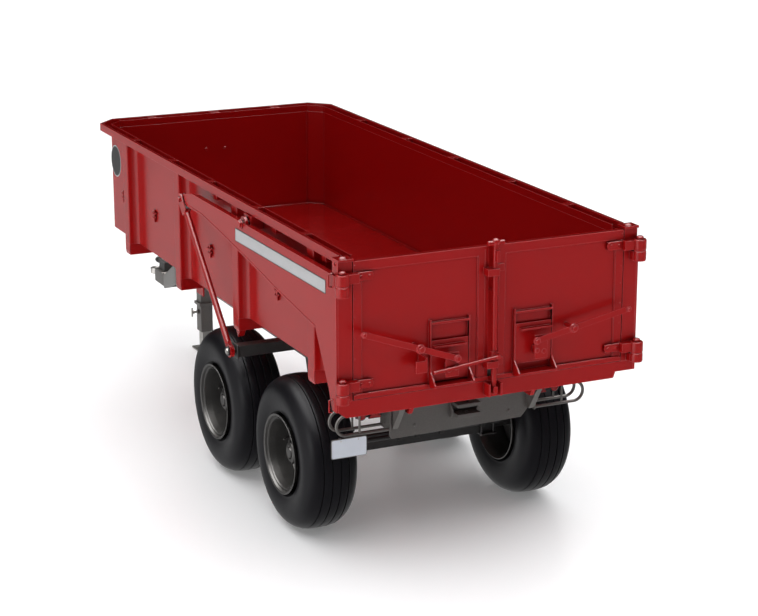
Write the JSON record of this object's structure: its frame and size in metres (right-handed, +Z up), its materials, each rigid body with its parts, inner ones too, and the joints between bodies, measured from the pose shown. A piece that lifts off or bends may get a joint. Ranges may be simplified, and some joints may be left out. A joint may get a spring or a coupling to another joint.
{
  "type": "tandem-axle tipping grain trailer",
  "caption": "Tandem-axle tipping grain trailer: ribbed tub, rear tipping hinge, telescopic ram, lift-over tailgate with two hinged doors and grain hatches, rocking bogie and jack.",
  "frame": {"origin": "on the ground, at the middle of the footprint of the whole trailer", "axes": "+X forward to the tow eye, +Y to the left side, +Z up"},
  "size_m": [6.88, 2.298, 2.27],
  "materials": {
    "red_paint": "gloss",
    "frame_paint": "satin metallic",
    "dark_paint": "satin",
    "wheel_paint": "satin",
    "bare_steel": "satin",
    "tyre": "satin",
    "lamp_red": "gloss",
    "plate_white": "gloss"
  },
  "bodies": {
    "chassis": {"rail_left": "frame_paint", "rail_right": "frame_paint", "rear_cross_member": "frame_paint", "mid_cross_member": "frame_paint", "ram_cross_member": "frame_paint", "drawbar_left": "frame_paint", "drawbar_right": "frame_paint", "drawbar_nose": "frame_paint", "tow_eye": "bare_steel", "lamp_guard_left": "bare_steel", "lamp_guard_right": "bare_steel", "outrigger_left": "dark_paint", "outrigger_right": "dark_paint", "hose_block": "dark_paint", "lamps_left": "lamp_red", "lamps_right": "lamp_red", "number_plate": "plate_white", "jack_sleeve": "frame_paint"},
    "jack_leg": {"jack_leg": "bare_steel"},
    "jack_pin": {"jack_pin": "bare_steel"},
    "ram_barrel": {"ram_barrel": "dark_paint"},
    "ram_stage_1": {"ram_stage_1": "bare_steel"},
    "ram_stage_2": {"ram_stage_2": "bare_steel"},
    "ram_stage_3": {"ram_stage_3": "bare_steel"},
    "bogie": {"axle_rear": "dark_paint", "axle_front": "dark_paint", "spring_left": "dark_paint", "spring_right": "dark_paint", "brake_shaft": "dark_paint"},
    "tub": {"tub_floor": "red_paint", "tub_side_left": "red_paint", "tub_side_right": "red_paint", "headboard": "red_paint", "rim_left": "red_paint", "rim_right": "red_paint", "rim_front": "red_paint", "runner_left": "red_paint", "runner_right": "red_paint"},
    "tailgate": {"arm_left": "red_paint", "arm_right": "red_paint", "post_left": "red_paint", "post_right": "red_paint", "sill": "red_paint"},
    "door_left": {"door_left": "red_paint"},
    "door_right": {"door_right": "red_paint"},
    "hatch_slide_left": {"hatch_slide_left": "red_paint"},
    "hatch_slide_right": {"hatch_slide_right": "red_paint"},
    "hatch_lever_left": {"hatch_lever_left": "red_paint"},
    "hatch_lever_right": {"hatch_lever_right": "red_paint"},
    "lock_bar": {"lock_bar": "red_paint"},
    "strut_left": {"strut_left": "red_paint"},
    "strut_right": {"strut_right": "red_paint"},
    "wheel_rear_left": {"tyre_rear_left": "tyre", "wheel_rear_left": "wheel_paint"},
    "wheel_rear_right": {"tyre_rear_right": "tyre", "wheel_rear_right": "wheel_paint"},
    "wheel_front_left": {"tyre_front_left": "tyre", "wheel_front_left": "wheel_paint"},
    "wheel_front_right": {"tyre_front_right": "tyre", "wheel_front_right": "wheel_paint"}
  },
  "joints": [
    {"name": "tub_tip", "type": "hinge", "parent": "chassis", "child": "tub", "pos_m": [-3.012, 0, 1.1], "axis": [0, -1, 0], "range_deg": [0, 40]},
    {"name": "ram_swing", "type": "hinge", "parent": "chassis", "child": "ram_barrel", "pos_m": [-0.612, 0, 0.7], "axis": [0, -1, 0], "range_deg": [0, 20.04]},
    {"name": "ram_extend_1", "type": "slide", "parent": "ram_barrel", "child": "ram_stage_1", "axis": [0.0536, 0, 0.9986], "range_m": [0, 0.541]},
    {"name": "ram_extend_2", "type": "slide", "parent": "ram_stage_1", "child": "ram_stage_2", "axis": [0.0536, 0, 0.9986], "range_m": [0, 0.541]},
    {"name": "ram_extend_3", "type": "slide", "parent": "ram_stage_2", "child": "ram_stage_3", "axis": [0.0536, 0, 0.9986], "range_m": [0, 0.541]},
    {"name": "tailgate_lift", "type": "hinge", "parent": "tub", "child": "tailgate", "pos_m": [-1.692, 0, 2.111], "axis": [0, 1, 0], "range_deg": [0, 50.67]},
    {"name": "strut_swing_left", "type": "hinge", "parent": "chassis", "child": "strut_left", "pos_m": [-1.422, 1.111, 1.11], "axis": [0, -1, 0], "range_deg": [0, 47.78]},
    {"name": "strut_swing_right", "type": "hinge", "parent": "chassis", "child": "strut_right", "pos_m": [-1.422, -1.111, 1.11], "axis": [0, -1, 0], "range_deg": [0, 47.78]},
    {"name": "door_left_swing", "type": "hinge", "parent": "tailgate", "child": "door_left", "pos_m": [-3.362, 1.095, 1.7], "axis": [0, 0, -1], "range_deg": [0, 100]},
    {"name": "door_right_swing", "type": "hinge", "parent": "tailgate", "child": "door_right", "pos_m": [-3.362, -1.095, 1.7], "axis": [0, 0, 1], "range_deg": [0, 100]},
    {"name": "lock_bar_turn", "type": "hinge", "parent": "door_left", "child": "lock_bar", "pos_m": [-3.358, 0, 1.7], "axis": [0, 0, 1], "range_deg": [0, 90]},
    {"name": "hatch_lever_left_turn", "type": "hinge", "parent": "door_left", "child": "hatch_lever_left", "pos_m": [-3.41, 0.568, 1.603], "axis": [-1, 0, 0], "range_deg": [0, 22]},
    {"name": "hatch_lever_right_turn", "type": "hinge", "parent": "door_right", "child": "hatch_lever_right", "pos_m": [-3.41, -0.568, 1.603], "axis": [1, 0, 0], "range_deg": [-8, 14]},
    {"name": "hatch_slide_left_lift", "type": "slide", "parent": "door_left", "child": "hatch_slide_left", "axis": [0, 0, 1], "range_m": [0, 0.1042]},
    {"name": "hatch_slide_right_lift", "type": "slide", "parent": "door_right", "child": "hatch_slide_right", "axis": [0, 0, 1], "range_m": [-0.0382, 0.0665]},
    {"name": "bogie_rock", "type": "hinge", "parent": "chassis", "child": "bogie", "pos_m": [-1.516, 0, 0.715], "axis": [0, 1, 0], "range_deg": [-5, 5]},
    {"name": "wheel_rear_left_spin", "type": "hinge", "parent": "bogie", "child": "wheel_rear_left", "pos_m": [-2.159, 0.845, 0.55], "axis": [0, 1, 0], "continuous": true},
    {"name": "wheel_rear_right_spin", "type": "hinge", "parent": "bogie", "child": "wheel_rear_right", "pos_m": [-2.159, -0.845, 0.55], "axis": [0, 1, 0], "continuous": true},
    {"name": "wheel_front_left_spin", "type": "hinge", "parent": "bogie", "child": "wheel_front_left", "pos_m": [-0.873, 0.845, 0.55], "axis": [0, 1, 0], "continuous": true},
    {"name": "wheel_front_right_spin", "type": "hinge", "parent": "bogie", "child": "wheel_front_right", "pos_m": [-0.873, -0.845, 0.55], "axis": [0, 1, 0], "continuous": true},
    {"name": "jack_leg_slide", "type": "slide", "parent": "chassis", "child": "jack_leg", "axis": [0, 0, 1], "range_m": [0, 0.15]},
    {"name": "jack_pin_pull", "type": "slide", "parent": "chassis", "child": "jack_pin", "axis": [0, 1, 0], "range_m": [0, 0.03], "stiffness_N_per_m": 400}
  ],
  "couplings": [
    {"joint": "ram_swing", "follows": "tub_tip", "ratio": 0.49985},
    {"joint": "ram_extend_1", "follows": "tub_tip", "m_per_rad": 0.77416},
    {"joint": "ram_extend_2", "follows": "tub_tip", "m_per_rad": 0.77416},
    {"joint": "ram_extend_3", "follows": "tub_tip", "m_per_rad": 0.77416},
    {"joint": "tailgate_lift", "follows": "tub_tip", "ratio": 1.2654},
    {"joint": "strut_swing_left", "follows": "tub_tip", "ratio": 1.1932},
    {"joint": "strut_swing_right", "follows": "tub_tip", "ratio": 1.1932},
    {"joint": "hatch_slide_left_lift", "follows": "hatch_lever_left_turn", "m_per_rad": 0.27},
    {"joint": "hatch_slide_right_lift", "follows": "hatch_lever_right_turn", "m_per_rad": 0.27}
  ]
}
